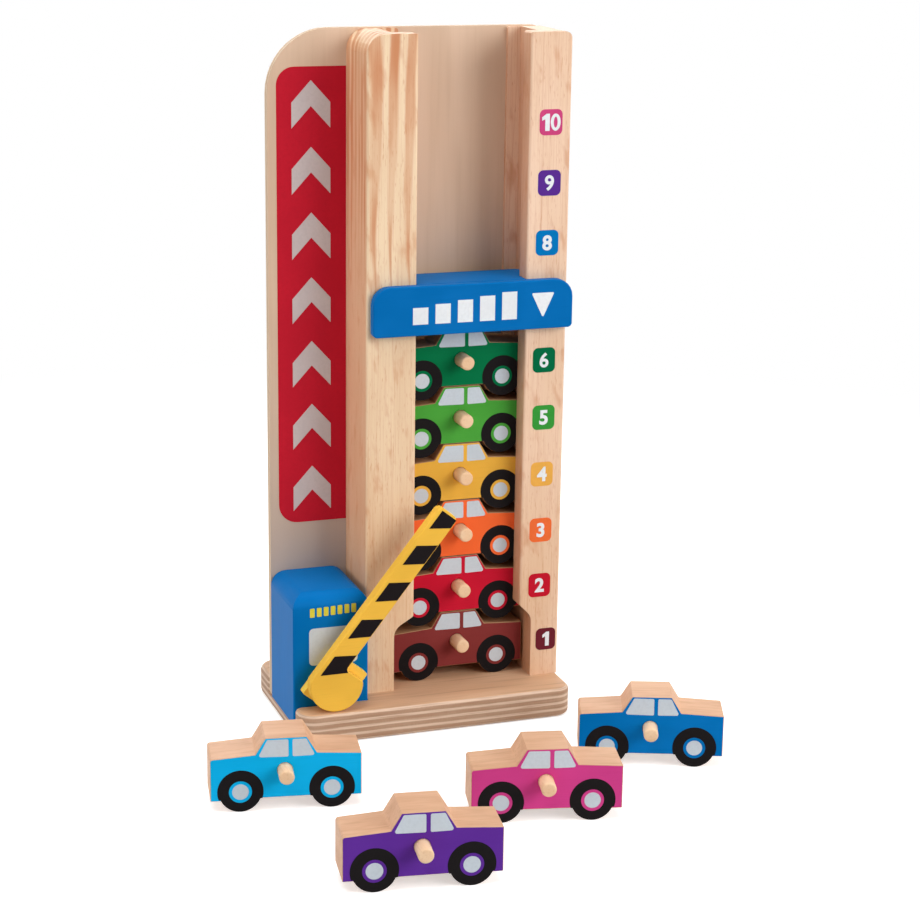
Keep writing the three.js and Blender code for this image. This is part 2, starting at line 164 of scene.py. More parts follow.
# Colours


def ink(code):
    """A colour written as on a paint chart, in the light values that shaders use."""
    shares = [int(code[i : i + 2], 16) / 255 for i in (1, 3, 5)]
    return tuple(s / 12.92 if s <= 0.04045 else ((s + 0.055) / 1.055) ** 2.4 for s in shares) + (1,)


def shaded(colour, strength, lift=0.0):
    """The colour made darker or lighter by a share, and lifted a little."""
    return tuple(min(1, value * strength + lift) for value in colour[:3]) + (1,)


# Finishes: every one reads Object coordinates, so a pattern keeps its real size on any piece

WOOD_GLOSS = 0.2
PAINT_GLOSS = 0.03
EVEN_RISE = (0.3, 0.7)
FACING_RISE = (0.8, 0.97)


def socket_name(key):
    return key.replace("_", " ").title().replace("Ior", "IOR")


class Finish(NodeTree):
    """A material under construction."""

    def __init__(self, name, **shader):
        self.material = bpy.data.materials.new(name)
        self.material.use_nodes = True
        super().__init__(self.material.node_tree)
        self.tree.nodes.clear()
        sockets = {socket_name(key): value for key, value in shader.items()}
        self.shader = self.node("ShaderNodeBsdfPrincipled", {}, sockets)
        self.node("ShaderNodeOutputMaterial", {}, {"Surface": self.shader.outputs[0]})

    def set(self, **sockets):
        for key, value in sockets.items():
            self.feed(self.shader.inputs[socket_name(key)], value)

    def place(self, turn=0):
        """Where on the object a point lies, in millimetres, with the piece's own turn taken out."""
        coordinates = self.node("ShaderNodeTexCoord").outputs["Object"]
        scale = (1 / MM, 1 / MM, 1 / MM)
        sockets = {"Vector": coordinates, "Rotation": (0, 0, -turn), "Scale": scale}
        return self.node("ShaderNodeMapping", {"vector_type": "POINT"}, sockets).outputs[0]

    def facing(self, axis):
        """How squarely a face looks along an axis, either way, from 0 to 1."""
        normal = self.node("ShaderNodeNewGeometry").outputs["Normal"]
        squarely = self.math("ABSOLUTE", self.apart(normal)["XYZ".index(axis)])
        return self.rise(squarely, *FACING_RISE)

    def noise(self, vector, grain=1.0, detail=2.0):
        """Even noise from 0 to 1. `grain` is the size of its grains."""
        sockets = {"Vector": vector, "Scale": 1 / grain, "Detail": detail}
        return Reading(self, self.node("ShaderNodeTexNoise", {}, sockets).outputs[0])

    def streaks(self, axes, size, detail):
        """Noise drawn out along the last axis. `size` is how wide and how long its grains are."""
        across, through, along = axes
        wide, long = size
        return self.noise(self.together(across / wide, through / wide, along / long), detail=detail)

    def mix(self, share, below, above):
        sockets = {0: share, 6: below, 7: above}
        return self.node("ShaderNodeMix", {"data_type": "RGBA"}, sockets).outputs[2]

    def bump(self, height, depth, strength=0.6):
        """`depth` is how far a height of 1 stands proud."""
        sockets = {"Strength": strength, "Distance": depth * MM, "Height": height}
        self.set(normal=self.node("ShaderNodeBump", {}, sockets).outputs[0])


def along_grain(finish, place, grain):
    """The place as two readings across the grain and one along it."""
    x, y, z = finish.apart(place)
    return {"X": (y, z, x), "Y": (x, z, y), "Z": (x, y, z)}[grain]


# Pine

PINE_ROUGHNESS = 0.5
PINE_DRIFT = (30, 150)
PINE_WAVER = (8, 45)
PINE_PATCH = (12, 70)
PINE_FIBRE = (0.5, 45)
PINE_FLECK = (0.45, 5)
PINE_CLOUD = (22, 120)
PINE_BLOTCH = (8, 22)
PINE_BLOTCH_LEAN = 50
PINE_FOOT_SHADE = (20, 320)
PINE_RELIEF = 0.05
WAVER_SHARE = 0.12


def pine(name, pale, mid, late, heart, ring_width, sway, figure):
    """Sawn pine: growth rings round a heart outside the piece, so each face shows its own cut of them.

    `figure` is how broad and strong they are at the low and the high end, and where along the grain
    that changes: thin lines near 0.2, broad bands near 0.8. The sides are painted redder and darker than
    the front, as painted shade and a painted reflection of the red sign, and the foot is painted darker
    than the top, as painted shade.
    """
    finish = Finish(name, specular_ior_level=WOOD_GLOSS)
    axes = along_grain(finish, finish.place(), "Z")
    across, through, along = axes
    drift = finish.streaks(axes, PINE_DRIFT, 2) - 0.5
    waver = finish.streaks(axes, PINE_WAVER, 1) - 0.5
    side = across - heart[0]
    deep = through - heart[1]
    reach = (side * side + deep * deep) ** 0.5 + drift * sway + waver * (sway * WAVER_SHARE)
    crest = 2 * finish.math("PINGPONG", reach / ring_width, 0.5)
    low, high, start, end = figure
    strength = low + (high - low) * finish.rise(along, start, end)
    summer = finish.rise(crest + strength, 1, 1.4)
    vary = finish.rise(finish.streaks(axes, PINE_PATCH, 1), *EVEN_RISE)
    fine = finish.streaks(axes, PINE_FIBRE, 3)
    flecks = finish.streaks(axes, PINE_FLECK, 1)
    cloud = finish.streaks(axes, PINE_CLOUD, 2)
    wide, long = PINE_BLOTCH
    leaning = finish.together(across / wide + along / PINE_BLOTCH_LEAN, through / wide, along / long)
    blotch = finish.noise(leaning, detail=3)
    # Painted shade: the tone darkens towards the foot of the post, where less light falls.
    foot = 1 - finish.rise(along, *PINE_FOOT_SHADE)
    colour = finish.mix(finish.rise(cloud, *EVEN_RISE) * 0.5 + foot * 0.5, ink(pale), ink(mid))
    colour = finish.mix(summer * (0.3 + 0.7 * vary), colour, ink(late))
    # Painted shade and painted reflection: the side faces turn darker and redder, standing in for the red
    # sign's bounce and the shade in the channel.
    colour = finish.mix(finish.facing("X") * 0.45, colour, ink(late))
    colour = finish.mix(finish.rise(fine, 0.45, 0.8) * 0.4, colour, ink(late))
    colour = finish.mix(finish.rise(flecks, 0.62, 0.76) * 0.5, colour, ink(late))
    colour = finish.mix(finish.rise(blotch, 0.54, 0.72) * 0.5, colour, ink(late))
    finish.set(base_color=colour, roughness=PINE_ROUGHNESS + (fine - 0.5) * 0.2)
    finish.bump(fine * 0.6 - summer * 0.3, PINE_RELIEF)
    return finish.material


# Plain wood and plywood

WOOD_ROUGHNESS = 0.55
WOOD_CLOUD = (9, 40)
WOOD_FIBRE = (0.45, 14)
WOOD_LINE = (1.7, 60)
WOOD_RELIEF = 0.04
WOOD_STREAK_SHARE = 0.28
VENEER_FIBRE = (0.5, 30)
VENEER_CLOUD = (18, 120)
VENEER_LINE = (1.8, 60)
VENEER_RELIEF = 0.05
LAYER_WAVER = 38
EDGE_STREAK = (22, 0.6)
EDGE_CLOUD = (30, 1.9)
EDGE_PORE = (0.9, 2.5)


def plain_wood(name, pale, mid, late, grain="X", turn=0):
    """Close-grained wood, whose face is nearly even: soft clouds and the finest of streaks."""
    finish = Finish(name, specular_ior_level=WOOD_GLOSS)
    axes = along_grain(finish, finish.place(turn), grain)
    cloud = finish.streaks(axes, WOOD_CLOUD, 2)
    fine = finish.streaks(axes, WOOD_FIBRE, 3)
    lines = finish.streaks(axes, WOOD_LINE, 1)
    colour = finish.mix(finish.rise(cloud, *EVEN_RISE), ink(pale), ink(mid))
    colour = finish.mix(finish.rise(lines, 0.5, 0.75) * WOOD_STREAK_SHARE, colour, ink(late))
    colour = finish.mix(finish.rise(fine, 0.45, 0.8) * WOOD_STREAK_SHARE, colour, ink(late))
    finish.set(base_color=colour, roughness=WOOD_ROUGHNESS + (fine - 0.5) * 0.2)
    finish.bump(fine, WOOD_RELIEF)
    return finish.material


def plywood(name, face, streak, edge, plies, span, layer_axis, grain="X", streak_share=0.3, foot=None):
    """Plywood: veneers stacked along one axis from the low to the high end of `span`.

    `edge` is the pale and the dark colour that take turns on the edges. `foot` is a tone of painted shade
    that takes over downwards, with the heights where it is full and where it begins.
    """
    finish = Finish(name, specular_ior_level=WOOD_GLOSS)
    place = finish.place()
    x, y, z = finish.apart(place)
    layer = {"Y": y, "Z": z}[layer_axis]
    axes = along_grain(finish, place, grain)
    pale, dark = [ink(code) for code in edge]

    fine = finish.streaks(axes, VENEER_FIBRE, 3)
    cloud = finish.streaks(axes, VENEER_CLOUD, 2)
    lines = finish.streaks(axes, VENEER_LINE, 3)
    veneer = finish.mix(finish.rise(cloud, 0.25, 0.75), ink(face), ink(streak))
    veneer = finish.mix(finish.rise(fine, 0.45, 0.85) * streak_share, veneer, dark)
    veneer = finish.mix(finish.rise(lines, 0.48, 0.75) * streak_share * 1.4, veneer, dark)
    # Painted shade: the foot tone takes over towards the bottom.
    if foot:
        tone, full, none = foot
        veneer = finish.mix(1 - finish.rise(z, full, none), veneer, ink(tone))

    waver = finish.noise(place, grain=LAYER_WAVER, detail=1) - 0.5
    count = (layer - span[0]) / (span[1] - span[0]) * plies + waver * 0.16
    crossed = finish.rise(finish.math("PINGPONG", count - 0.5, 1.0), 0.2, 0.6)
    streaks = finish.streaks((x, y, layer), EDGE_STREAK, 2)
    clouds = finish.streaks((x, y, layer), EDGE_CLOUD, 2)
    pores = finish.streaks((x, y, layer), EDGE_PORE, 1)
    edges = finish.mix(crossed * (0.45 + clouds * 0.7), pale, dark)
    edges = finish.mix(crossed * finish.rise(pores, 0.4, 0.8) * 0.3, edges, dark)
    edges = finish.mix(finish.rise(streaks, 0.45, 0.7) * 0.55, edges, dark)

    flat = finish.facing(layer_axis)
    finish.set(base_color=finish.mix(flat, edges, veneer), roughness=WOOD_ROUGHNESS + (fine - 0.5) * 0.2)
    finish.bump(fine * 0.6 + crossed * (flat - 1) * 0.4, VENEER_RELIEF)
    return finish.material


# Paint, ink and steel

PAINT_ROUGHNESS = 0.42
PAINT_FIBRE = (0.8, 22)
PAINT_CLOUD = 34
PAINT_RELIEF = 0.03
INK_ROUGHNESS = 0.5
INK_MOTTLE = 1.6
INK_CLOUD = 25
INK_RELIEF = 0.01
STEEL_ROUGHNESS = 0.28
STEEL_CLOUD = 1.4
STEEL_RELIEF = 0.01


def paint(name, colour, grain="Z", turn=0):
    """Satin paint on wood: the grain still shows faintly in its gloss and its depth."""
    finish = Finish(name, specular_ior_level=PAINT_GLOSS)
    axes = along_grain(finish, finish.place(turn), grain)
    fine = finish.streaks(axes, PAINT_FIBRE, 3)
    cloud = finish.noise(finish.together(*axes), grain=PAINT_CLOUD)
    flat = ink(colour)
    tone = finish.mix(finish.rise(cloud, *EVEN_RISE), flat, shaded(flat, 1.1, 0.002))
    tone = finish.mix(finish.rise(fine, 0.5, 0.9) * 0.35, tone, shaded(flat, 0.86))
    finish.set(base_color=tone, roughness=PAINT_ROUGHNESS + (cloud - 0.5) * 0.1 + (fine - 0.5) * 0.08)
    finish.bump(fine, PAINT_RELIEF, 0.4)
    return finish.material


def print_ink(name, colour):
    """Screen-printed ink: flat and even, with the faintest mottle."""
    finish = Finish(name, specular_ior_level=PAINT_GLOSS)
    place = finish.place()
    mottle = finish.noise(place, grain=INK_MOTTLE, detail=3)
    cloud = finish.noise(place, grain=INK_CLOUD, detail=1)
    worn = shaded(ink(colour), 0.9)
    tone = finish.mix(finish.rise(mottle, 0.35, 0.75) * 0.6, ink(colour), worn)
    tone = finish.mix(finish.rise(cloud, 0.35, 0.7) * 0.5, tone, worn)
    finish.set(base_color=tone, roughness=INK_ROUGHNESS + (mottle - 0.5) * 0.12)
    finish.bump(mottle, INK_RELIEF, 0.3)
    return finish.material


def plated_steel(name, pale, dark):
    """Zinc-plated steel, whose colour and gloss are cloudy."""
    finish = Finish(name, metallic=1.0)
    cloud = finish.noise(finish.place(), grain=STEEL_CLOUD, detail=3)
    tone = finish.mix(finish.rise(cloud, *EVEN_RISE), ink(pale), ink(dark))
    finish.set(base_color=tone, roughness=STEEL_ROUGHNESS + cloud * 0.2)
    finish.bump(cloud, STEEL_RELIEF, 0.3)
    return finish.material


# Outlines

CORNER_STEP = 12


def arc(cx, cy, radius, start, end, steps):
    turns = [start + (end - start) * i / steps for i in range(steps + 1)]
    return [(cx + radius * math.cos(math.radians(t)), cy + radius * math.sin(math.radians(t))) for t in turns]


def ring(cx, cy, radius, sides=48):
    return arc(cx, cy, radius, 0, 360, sides)[:-1]


def oval(cx, cy, across, up, sides=32):
    return [(cx + across * x, cy + up * y) for x, y in ring(0, 0, 1, sides)]


def softened(corners):
    """An outline whose corners (x, y, radius) are rounded."""
    points = []
    for i, (x, y, radius) in enumerate(corners):
        if not radius:
            points.append((x, y))
            continue
        at = Vector((x, y))
        back = (Vector(corners[i - 1][:2]) - at).normalized()
        on = (Vector(corners[(i + 1) % len(corners)][:2]) - at).normalized()
        half = back.angle(on) / 2
        centre = at + (back + on).normalized() * (radius / math.sin(half))
        start = at + back * (radius / math.tan(half)) - centre
        end = at + on * (radius / math.tan(half)) - centre
        first = math.degrees(math.atan2(start.y, start.x))
        sweep = (math.degrees(math.atan2(end.y, end.x)) - first + 180) % 360 - 180
        steps = max(2, round(abs(sweep) / CORNER_STEP))
        points += arc(centre.x, centre.y, radius, first, first + sweep, steps)
    return points


def rectangle(left, right, low, high, radius=0.0):
    return softened([(left, low, radius), (right, low, radius), (right, high, radius), (left, high, radius)])


def inset(points, distance):
    """The outline, each side moved in by a distance. It runs anticlockwise."""
    moved = []
    for i, point in enumerate(points):
        at = Vector(point)
        before = (at - Vector(points[i - 1])).normalized()
        after = (Vector(points[(i + 1) % len(points)]) - at).normalized()
        inwards = Vector((-before.y, before.x)), Vector((-after.y, after.x))
        share = distance / (1 + inwards[0].dot(inwards[1]))
        moved.append(tuple(at + (inwards[0] + inwards[1]) * share))
    return moved


def turned(points, degrees, middle):
    """The outline, turned about zero and moved to a middle."""
    cos = math.cos(math.radians(degrees))
    sin = math.sin(math.radians(degrees))
    return [(middle[0] + x * cos - z * sin, middle[1] + x * sin + z * cos) for x, z in points]


# Pieces: rounded copies of the CAD solids, and thin prints that lie on them

EDGE_ANGLE = math.radians(30)
FLAT_ANGLE = math.radians(0.5)
EDGE_SEGMENTS = 3
FLAT_FACE_WEIGHT = 100
MERGE_DISTANCE = 0.01
NUMBER_MERGE_DISTANCE = 0.001
PRINT_DEPTH = 0.12
UPRIGHT = Matrix.Rotation(math.radians(90), 4, "X")


def keep(name, mesh, body, replaced=()):
    """Puts a finished mesh in the scene, on its CAD body."""
    piece = bpy.data.objects.new(name, mesh)
    bpy.context.scene.collection.objects.link(piece)
    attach(piece, body)
    if replaced:
        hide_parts(*replaced)


def settled(holder):
    """The holder's mesh with its modifiers worked in. The holder goes."""
    bpy.context.view_layer.update()
    graph = bpy.context.evaluated_depsgraph_get()
    mesh = bpy.data.meshes.new_from_object(holder.evaluated_get(graph), depsgraph=graph)
    bpy.data.objects.remove(holder)
    return mesh


def held(name, data):
    holder = bpy.data.objects.new(name, data)
    bpy.context.scene.collection.objects.link(holder)
    return holder


def coated(mesh, material):
    mesh.materials.clear()
    mesh.materials.append(material)
    return mesh


def rounded(node, edge, material, body, segments=EDGE_SEGMENTS):
    """A copy of a CAD node as one clean mesh, with its sharp edges eased."""
    form = bmesh.new()
    form.from_mesh(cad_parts[node].data)
    bmesh.ops.remove_doubles(form, verts=form.verts, dist=MERGE_DISTANCE * MM)
    bmesh.ops.dissolve_limit(form, angle_limit=FLAT_ANGLE, verts=form.verts, edges=form.edges)
    form.verts.index_update()
    corners = [vertex.co.copy() for vertex in form.verts]
    faces = [[vertex.index for vertex in face.verts] for face in form.faces]
    form.free()
    mesh = bpy.data.meshes.new(node)
    mesh.from_pydata(corners, [], faces)
    mesh.shade_smooth()
    holder = held(node + "_form", mesh)
    ease = holder.modifiers.new("eased edges", "BEVEL")
    ease.width = edge * MM
    ease.segments = segments
    ease.limit_method = "ANGLE"
    ease.angle_limit = EDGE_ANGLE
    ease.miter_outer = "MITER_ARC"
    weigh = holder.modifiers.new("flat faces", "WEIGHTED_NORMAL")
    weigh.weight = FLAT_FACE_WEIGHT
    keep(node + "_rounded", coated(settled(holder), material), body, [node])


def plate_of(outlines, material, thickness=PRINT_DEPTH):
    """A thin flat mesh of one or more outlines, with holes where one lies in another. Z is its front."""
    sheet = bpy.data.curves.new("sheet", "CURVE")
    sheet.dimensions = "2D"
    sheet.fill_mode = "BOTH"
    sheet.extrude = thickness * MM / 2
    for outline in outlines:
        spline = sheet.splines.new("POLY")
        spline.points.add(len(outline) - 1)
        for point, (x, y) in zip(spline.points, outline):
            point.co = (x * MM, y * MM, 0, 1)
        spline.use_cyclic_u = True
    mesh = settled(held("sheet", sheet))
    mesh.transform(Matrix.Translation((0, 0, thickness * MM / 2)))
    return coated(mesh, material)


def standing(x=0, y=0, z=0, turn=0):
    """Stands a flat mesh up, facing the front, with its zero at a place."""
    return Matrix.Translation(Vector((x, y, z)) * MM) @ Matrix.Rotation(turn, 4, "Z") @ UPRIGHT


def front_print(name, outlines, material, body, where, thickness=PRINT_DEPTH):
    mesh = plate_of(outlines, material, thickness)
    mesh.transform(where)
    keep(name, mesh, body)


def number_mesh(text, height, bold, material):
    """A plain number, centred on zero and as high as asked."""
    words = bpy.data.curves.new("number", "FONT")
    words.body = text
    words.offset = bold
    mesh = settled(held("number", words))
    xs = [vertex.co.x for vertex in mesh.vertices]
    ys = [vertex.co.y for vertex in mesh.vertices]
    scale = height * MM / (max(ys) - min(ys))
    middle = Vector(((max(xs) + min(xs)) / 2, (max(ys) + min(ys)) / 2, 0))
    mesh.transform(Matrix.Scale(scale, 4) @ Matrix.Translation(-middle))
    form = bmesh.new()
    form.from_mesh(mesh)
    bmesh.ops.remove_doubles(form, verts=form.verts, dist=NUMBER_MERGE_DISTANCE * MM)
    faces = bmesh.ops.extrude_face_region(form, geom=form.faces[:])["geom"]
    lifted = [item for item in faces if isinstance(item, bmesh.types.BMVert)]
    bmesh.ops.translate(form, verts=lifted, vec=(0, 0, PRINT_DEPTH * MM))
    bmesh.ops.recalc_face_normals(form, faces=form.faces)
    for face in form.faces:
        face.smooth = False
    form.to_mesh(mesh)
    form.free()
    return coated(mesh, material)


# Repeats, made by Geometry Nodes

SCREW_SIDES = 32
THREAD_SHARE = 0.7
POINT_SHARE = 0.18
TIP_SHARE = 0.1
RECESS_SHARE = 1.15


class Repeat(NodeTree):
    """A Geometry Nodes tree with named sizes, which repeats a stamp."""

    KINDS = {int: "NodeSocketInt", float: "NodeSocketFloat", tuple: "NodeSocketVector"}

    def __init__(self, name, sizes):
        super().__init__(bpy.data.node_groups.new(name, "GeometryNodeTree"))
        self.tree.interface.new_socket("Geometry", in_out="OUTPUT", socket_type="NodeSocketGeometry")
        self.tree.interface.new_socket("Stamp", in_out="INPUT", socket_type="NodeSocketGeometry")
        for size, kind in sizes.items():
            self.tree.interface.new_socket(size, in_out="INPUT", socket_type=self.KINDS[kind])
        self.tree.interface.new_socket("Material", in_out="INPUT", socket_type="NodeSocketMaterial")
        self.inputs = self.node("NodeGroupInput").outputs

    def size(self, name):
        return Reading(self, self.inputs[name])

    def copies(self, points, stamp, **sockets):
        """A painted copy of the stamp at each of the points, which ends the tree."""
        values = {"Points": points, "Instance": stamp, **sockets}
        placed = self.node("GeometryNodeInstanceOnPoints", {}, values).outputs[0]
        solid = self.node("GeometryNodeRealizeInstances", {}, {0: placed}).outputs[0]
        coat = {0: solid, "Material": self.inputs["Material"]}
        painted = self.node("GeometryNodeSetMaterial", {}, coat).outputs[0]
        self.node("NodeGroupOutput", {}, {0: painted})

    def made(self, stamp, material, **sizes):
        """The stamp's mesh, repeated."""
        holder = held(self.tree.name, stamp)
        repeat = holder.modifiers.new(self.tree.name, "NODES")
        repeat.node_group = self.tree
        values = {socket_name(key): value for key, value in sizes.items()}
        values["Material"] = material
        for item in self.tree.interface.items_tree:
            if item.name in values:
                repeat[item.identifier] = values[item.name]
        return settled(holder)


def row_tree():
    """Copies in a row. Each may be taller than the last by the growth, measured up from its foot."""
    row = Repeat("row", {"Count": int, "Step": tuple, "Growth": float})
    sockets = {"Count": row.inputs["Count"], "Offset": row.inputs["Step"]}
    line = row.node("GeometryNodeMeshLine", {"mode": "OFFSET"}, sockets).outputs[0]
    index = Reading(row, row.node("GeometryNodeInputIndex").outputs[0])
    tall = 1 + index * row.size("Growth")
    row.copies(line, row.inputs["Stamp"], Scale=row.together(1, 1, tall))
    return row


def screw_tree():
    """A countersunk screw with a crossed recess at each point of the stamp, turned to face one way."""
    lengths = ["Head", "Shank", "Taper", "Length", "Slot"]
    screw = Repeat("screws", {**dict.fromkeys(lengths, float), "Turn": tuple})
    head, shank, taper, length, slot = [screw.size(name) for name in lengths]

    def drum(low, high, depth, start):
        sockets = {"Vertices": SCREW_SIDES, "Radius Top": high, "Radius Bottom": low, "Depth": depth}
        cone = screw.node("GeometryNodeMeshCone", {"fill_type": "NGON"}, sockets).outputs[0]
        move = {"Geometry": cone, "Translation": screw.together(0, 0, start)}
        return screw.node("GeometryNodeTransform", {}, move).outputs[0]

    def bar(across, along):
        size = screw.together(across, along, taper)
        return screw.node("GeometryNodeMeshCube", {}, {"Size": size}).outputs[0]

    thread = length * THREAD_SHARE
    point = length * POINT_SHARE
    pieces = [
        drum(head, shank, taper, 0),
        drum(shank, shank, thread, taper),
        drum(shank, shank * TIP_SHARE, point, taper + thread),
    ]
    whole = screw.node("GeometryNodeMeshBoolean", {"operation": "UNION"}, {1: pieces}).outputs[0]
    reach = head * RECESS_SHARE
    sockets = {0: whole, 1: [bar(slot, reach), bar(reach, slot)]}
    recessed = screw.node("GeometryNodeMeshBoolean", {"operation": "DIFFERENCE"}, sockets).outputs[0]
    screw.copies(screw.inputs["Stamp"], recessed, Rotation=screw.inputs["Turn"])
    return screw


row = row_tree()
screws = screw_tree()


# Wood, paint and ink of this garage

BASE_PLIES = 9
BASE_SPAN = (0, 17.6)
BASE_EDGE = ("#E0C4AC", "#A98266")
PANEL_PLIES = 3
PANEL_SPAN = (15.1, 19.9)
PANEL_EDGE = ("#EBD6BC", "#C29E7C")
# Painted shade: the panel turns greyer towards its foot, full at 20 mm and gone at 260 mm.
PANEL_FOOT_SHADE = ("#BFAFA4", 20, 260)

base_ply = plywood("base plywood", "#DEB592", "#CFA480", BASE_EDGE, BASE_PLIES, BASE_SPAN, "Z")
panel_ply = plywood("panel plywood", "#E4C6AC", "#D9BA9F", PANEL_EDGE, PANEL_PLIES, PANEL_SPAN, "Y",
                    grain="Z", streak_share=0.08, foot=PANEL_FOOT_SHADE)
left_pine = pine("streaked pine", "#F8DDBA", "#E4BF99", "#CF8A5F",
                 heart=(-52, 22), ring_width=5.25, sway=8, figure=(0.15, 0.8, 225, 350))
right_pine = pine("pale pine", "#F5D3B8", "#E6BF9C", "#CC8A62",
                  heart=(118, 62), ring_width=8, sway=13, figure=(0.1, 0.16, 60, 330))
booth_paint = paint("booth blue", "#006CB4")
plate_paint = paint("plate blue", "#0069B0", grain="X")
arm_paint = paint("barrier yellow", "#EFBB46", grain="X")
block_paint = paint("block yellow", "#F8CC55", grain="X")
peg_wood = plain_wood("peg beech", "#F6D3AE", "#EFC69E", "#D9A87C", grain="Y")
steel = plated_steel("plated steel", "#C9C8C2", "#A3A29C")
sign_red = print_ink("sign red", "#CC2034")
sign_grey = print_ink("sign grey", "#D5CACA")
white_ink = print_ink("white ink", "#EEF1F4")
black_ink = print_ink("black ink", "#1F1A1C")
pane_ink = print_ink("window grey", "#CFD8E0")
tyre_ink = print_ink("tyre black", "#1E1B1C")
booth_pane_ink = print_ink("booth window", "#CDD6DC")
ticket_ink = print_ink("ticket yellow", "#DFD549")


# The garage itself, each CAD node with the radius of its eased edges

GARAGE_PARTS = [
    ("base_plate", 0.5, base_ply, "plywood", "garage"),
    ("back_panel", 0.5, panel_ply, "panel_plywood", "garage"),
    ("left_post", 0.8, left_pine, "pine", "garage"),
    ("right_post", 0.8, right_pine, "pine", "garage"),
    ("ticket_booth", 0.8, booth_paint, "booth_blue", "garage"),
    ("barrier_arm", 0.7, arm_paint, "barrier_yellow", "barrier"),
    ("barrier_block", 0.5, block_paint, "barrier_yellow", "barrier"),
    ("level_plate", 1.0, plate_paint, "plate_blue", "level_slider"),
    ("level_carriage", 0.6, plate_paint, "plate_blue", "level_slider"),
]
for node, edge, material, slot, body in GARAGE_PARTS:
    rounded(node, edge, material, body)


def front_of(node):
    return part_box(node)[0].y / MM


panel_front = front_of("back_panel")
post_front = front_of("right_post")
booth_front = front_of("ticket_booth")
plate_front = front_of("level_plate")
arm_front = front_of("barrier_arm")


# Screws

SCREW_HEAD = 3.4
SCREW_SHANK = 1.7
SCREW_TAPER = 2.4
SCREW_SLOT = 0.9
UP = (0.0, 0.0, 0.0)
FORWARD = (math.radians(90), 0.0, 0.0)
BACK = (math.radians(-90), 0.0, 0.0)
Y_AXIS = 1
Z_AXIS = 2


def screw_set(name, nodes, body, axis, head_low, turn):
    """One mesh for the screws of a body that face the same way."""
    places = []
    for node in nodes:
        low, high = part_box(node)
        middle = (low + high) / 2
        middle[axis] = low[axis] if head_low else high[axis]
        places.append(middle)
    stamp = bpy.data.meshes.new(name)
    stamp.from_pydata(places, [], [])
    sizes = {"head": SCREW_HEAD, "shank": SCREW_SHANK, "taper": SCREW_TAPER, "slot": SCREW_SLOT}
    sizes = {part: size * MM for part, size in sizes.items()}
    mesh = screws.made(stamp, steel, length=(high - low)[axis], turn=turn, **sizes)
    keep(name, mesh, body, nodes)


def screw_names(stem, count):
    return [f"{stem}_screw_{i + 1}" for i in range(count)]


post_screws = screw_names("left_post", 2) + screw_names("right_post", 2)
panel_screws = screw_names("left_panel", 3) + screw_names("right_panel", 3)
screw_set("post_screws", post_screws, "garage", Z_AXIS, True, UP)
screw_set("booth_screws", screw_names("booth", 2), "garage", Z_AXIS, True, UP)
screw_set("panel_screws", panel_screws, "garage", Y_AXIS, False, FORWARD)
screw_set("pivot_screw", ["barrier_screw"], "garage", Y_AXIS, True, BACK)
screw_set("slider_screws", screw_names("slider", 2), "level_slider", Y_AXIS, False, FORWARD)


# Sign: a red ground that runs in behind the left post, with seven arrows in a column

SIGN = [(-76.1, 111.2, 11), (-36.6, 111.2, 0), (-36.6, 368.6, 0), (-76.1, 368.6, 10)]
CHEVRON = [(-11, 0), (0, 12), (11, 0), (11, 14), (0, 26), (-11, 14)]
ARROW_COUNT = 7
ARROW_PLACE = (-56.6, 118)
ARROW_PITCH = 36.2

front_print("sign_ground", [softened(SIGN)], sign_red, "garage", standing(y=panel_front))
arrow = plate_of([CHEVRON], sign_grey)
arrow.transform(standing(ARROW_PLACE[0], panel_front - PRINT_DEPTH, ARROW_PLACE[1]))
arrow_step = (0.0, 0.0, ARROW_PITCH * MM)
arrows = row.made(arrow, sign_grey, count=ARROW_COUNT, step=arrow_step, growth=0.0)
keep("sign_arrows", arrows, "garage")


# Booth: a pale window and a row of small yellow tickets above it

BOOTH_WINDOW = rectangle(-72.1, -44.0, 41.7, 63.5, 2.5)
TICKET = rectangle(0, 2.7, 0, 5.2, 0.5)
TICKET_COUNT = 7
TICKET_PLACE = (-71.6, 70.1)
TICKET_PITCH = 4.0
TICKET_CLIMB = 0.15

booth_face = standing(y=booth_front)
front_print("booth_window", [BOOTH_WINDOW], booth_pane_ink, "garage", booth_face)
ticket = plate_of([TICKET], ticket_ink)
ticket.transform(standing(TICKET_PLACE[0], booth_front, TICKET_PLACE[1]))
ticket_step = (TICKET_PITCH * MM, 0.0, TICKET_CLIMB * MM)
tickets = row.made(ticket, ticket_ink, count=TICKET_COUNT, step=ticket_step, growth=0.0)
keep("booth_tickets", tickets, "garage")


# Level slider: five bars that rise by steps, and a pointer

FIRST_BAR = rectangle(0, 8.8, 0, 9.4)
BAR_COUNT = 5
BAR_PLACE = (-11.8, 232.0)
BAR_PITCH = 12.95
BAR_GROWTH_SHARE = 0.165
POINTER = [(57.4, 246.1, 0.6), (64.3, 232.0, 0.6), (70.9, 246.1, 0.6)]

bar = plate_of([FIRST_BAR], white_ink)
bar.transform(UPRIGHT)
bar_step = (BAR_PITCH * MM, 0.0, 0.0)
bars = row.made(bar, white_ink, count=BAR_COUNT, step=bar_step, growth=BAR_GROWTH_SHARE)
bars.transform(Matrix.Translation(Vector((BAR_PLACE[0], plate_front, BAR_PLACE[1])) * MM))
keep("plate_steps", bars, "level_slider")
plate_face = standing(y=plate_front)
front_print("plate_pointer", [softened(POINTER)], white_ink, "level_slider", plate_face)


# Barrier: black stripes on its face, drawn level from the pivot and turned to the rest angle

